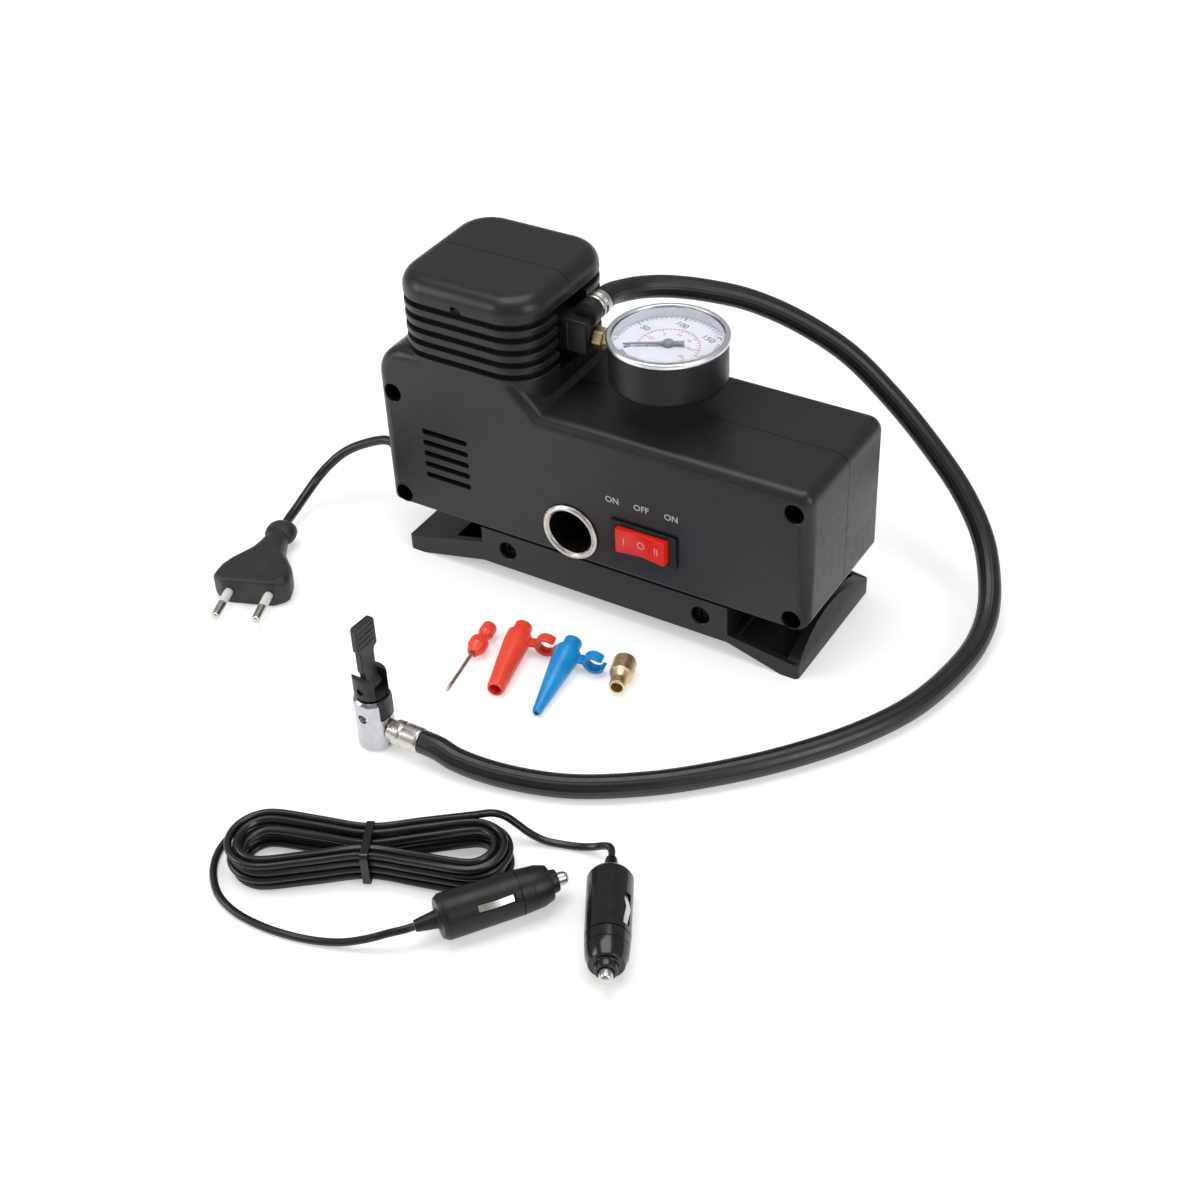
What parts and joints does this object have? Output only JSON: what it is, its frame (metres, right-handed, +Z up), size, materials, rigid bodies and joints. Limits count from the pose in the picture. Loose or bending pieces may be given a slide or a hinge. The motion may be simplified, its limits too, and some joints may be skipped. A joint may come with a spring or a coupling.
{
  "type": "portable tire inflator",
  "caption": "Mains and 12 V air compressor with a dial gauge on top, a hose with a clip-on chuck, a wound lead with 12 V plugs and loose valve adapters.",
  "frame": {"origin": "on the surface it stands on, under the middle of the bounding box of the compressor and its loose adapters, the cords and what is on them left out", "axes": "+X runs from the pump tower to the plain end of the housing, the outlet and the switch face -Y, +Z is up"},
  "size_m": [0.3227, 0.3406, 0.143],
  "materials": {
    "black_plastic": "satin moulded ABS",
    "black_rubber": "matt rubber",
    "hose_cover": "woven cover",
    "red_plastic": "glossy",
    "blue_plastic": "glossy",
    "dial": "printed white",
    "lens": "clear",
    "nickel": "nickel plated",
    "chrome": "polished",
    "brass": "turned",
    "steel": "plain",
    "dark_steel": "blackened",
    "aluminium": "cast",
    "nylon": "natural nylon",
    "circuit_board": "board with parts"
  },
  "bodies": {
    "compressor": {"front_housing": "black_plastic", "rear_housing": "black_plastic", "base": "black_plastic", "outlet_insulator": "black_plastic", "switch_bezel": "black_plastic", "motor_end_cap": "black_plastic", "manifold_block": "black_plastic", "gauge_case": "black_plastic", "chuck_collar": "black_plastic", "dc_plug_1": "black_plastic", "dc_plug_2": "black_plastic", "hank_tie": "black_plastic", "mains_gland": "black_rubber", "mains_cord": "black_rubber", "mains_plug": "black_rubber", "dc_hank": "black_rubber", "dc_lead_1": "black_rubber", "dc_lead_2": "black_rubber", "air_hose": "hose_cover", "ball_needle_head": "red_plastic", "red_nozzle": "red_plastic", "blue_nozzle": "blue_plastic", "gauge_dial": "dial", "gauge_lens": "lens", "outlet_sleeve": "nickel", "hose_coupling": "nickel", "hose_ferrule": "nickel", "mains_pin_1": "nickel", "mains_pin_2": "nickel", "chuck_body": "chrome", "gauge_rim": "chrome", "outlet_center_contact": "brass", "gauge_stem": "brass", "valve_adapter": "brass", "motor_can": "steel", "valve_plate": "steel", "ball_needle": "steel", "housing_screw_1": "dark_steel", "housing_screw_2": "dark_steel", "housing_screw_3": "dark_steel", "housing_screw_4": "dark_steel", "base_screw_1": "dark_steel", "base_screw_2": "dark_steel", "pump_frame": "aluminium", "cylinder": "aluminium", "cylinder_head": "aluminium", "power_board": "circuit_board"},
    "rocker": {"switch_rocker": "red_plastic"},
    "needle": {"gauge_needle": "dark_steel"},
    "lever": {"chuck_lever": "black_plastic"},
    "crank": {"crank_gear": "nylon", "crank_pin": "steel"},
    "rotor": {"motor_armature": "steel", "drive_pinion": "brass", "cooling_fan": "black_plastic"},
    "rod": {"connecting_rod": "aluminium"},
    "piston_set": {"piston": "aluminium", "piston_seal": "black_rubber"},
    "tip_1": {"dc_plug_tip_1": "nickel"},
    "tip_2": {"dc_plug_tip_2": "nickel"}
  },
  "joints": [
    {"name": "rocker_tilt", "type": "hinge", "parent": "compressor", "child": "rocker", "pos_m": [0.0283, 0.00825, 0.0462], "axis": [0, 0, 1], "range_deg": [-8, 8]},
    {"name": "needle_turn", "type": "hinge", "parent": "compressor", "child": "needle", "pos_m": [0.0217, 0.04, 0.1207], "axis": [0, 0, 1], "range_deg": [-270, 0], "stiffness_Nm_per_rad": 0.0002},
    {"name": "lever_swing", "type": "hinge", "parent": "compressor", "child": "lever", "pos_m": [-0.032, -0.109, 0.0306], "axis": [0, 1, 0], "range_deg": [0, 90]},
    {"name": "crank_turn", "type": "hinge", "parent": "compressor", "child": "crank", "pos_m": [-0.051, 0.04, 0.0499], "axis": [1, 0, 0], "continuous": true},
    {"name": "rotor_spin", "type": "hinge", "parent": "compressor", "child": "rotor", "pos_m": [-0.02, 0.04, 0.0715], "axis": [1, 0, 0], "continuous": true},
    {"name": "rod_turn", "type": "hinge", "parent": "crank", "child": "rod", "pos_m": [-0.05875, 0.04, 0.0544], "axis": [1, 0, 0], "continuous": true},
    {"name": "piston_slide", "type": "slide", "parent": "compressor", "child": "piston_set", "axis": [0, 0, 1], "range_m": [-0.009, 0]},
    {"name": "tip_press_1", "type": "slide", "parent": "compressor", "child": "tip_1", "axis": [-0.5976, -0.8018, 0], "range_m": [0, 0.0025], "stiffness_N_per_m": 600, "springref_m": -0.0015},
    {"name": "tip_press_2", "type": "slide", "parent": "compressor", "child": "tip_2", "axis": [-0.4802, 0.8771, 0], "range_m": [0, 0.0025], "stiffness_N_per_m": 600, "springref_m": -0.0015}
  ],
  "couplings": [
    {"joint": "rotor_spin", "follows": "crank_turn", "ratio": -5},
    {"joint": "rod_turn", "follows": "crank_turn", "ratio": -1}
  ]
}
